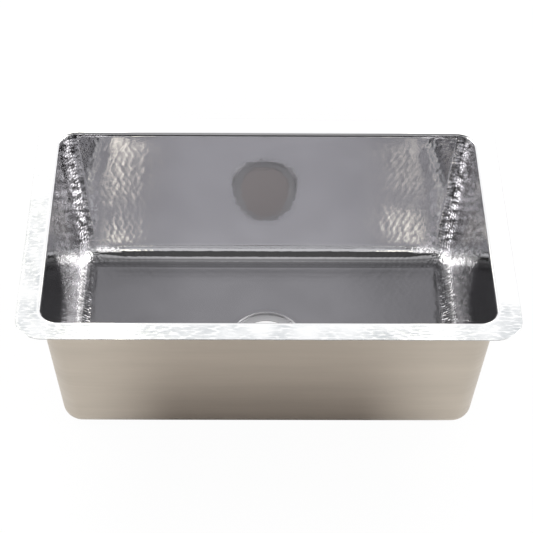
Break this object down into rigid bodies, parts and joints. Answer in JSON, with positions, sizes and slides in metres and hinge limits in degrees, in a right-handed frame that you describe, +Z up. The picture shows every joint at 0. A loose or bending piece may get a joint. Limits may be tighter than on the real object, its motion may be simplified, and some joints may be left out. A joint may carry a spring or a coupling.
{
  "type": "hammered stainless steel sink",
  "caption": "Rectangular sink bowl of hammered stainless steel with a wide flat rim, rounded corners and a recessed round drain hole, for fitting under a worktop.",
  "frame": {"origin": "on the ground under the middle of the drain, which is the bottom centre of the sink's box", "axes": "+X along the width to the right, +Y from the front to the back, +Z up out of the bowl"},
  "size_m": [0.762, 0.508, 0.271],
  "materials": {
    "hammered_steel": "hammered and polished inside, satin outside",
    "rim_steel": "hammered and polished",
    "smooth_steel": "smooth satin",
    "pad_rubber": "matt"
  },
  "bodies": {
    "root": {"bowl": "hammered_steel", "rim_flange": "rim_steel", "drain_seat": "smooth_steel", "pad_left": "pad_rubber", "pad_right": "pad_rubber"}
  },
  "joints": []
}
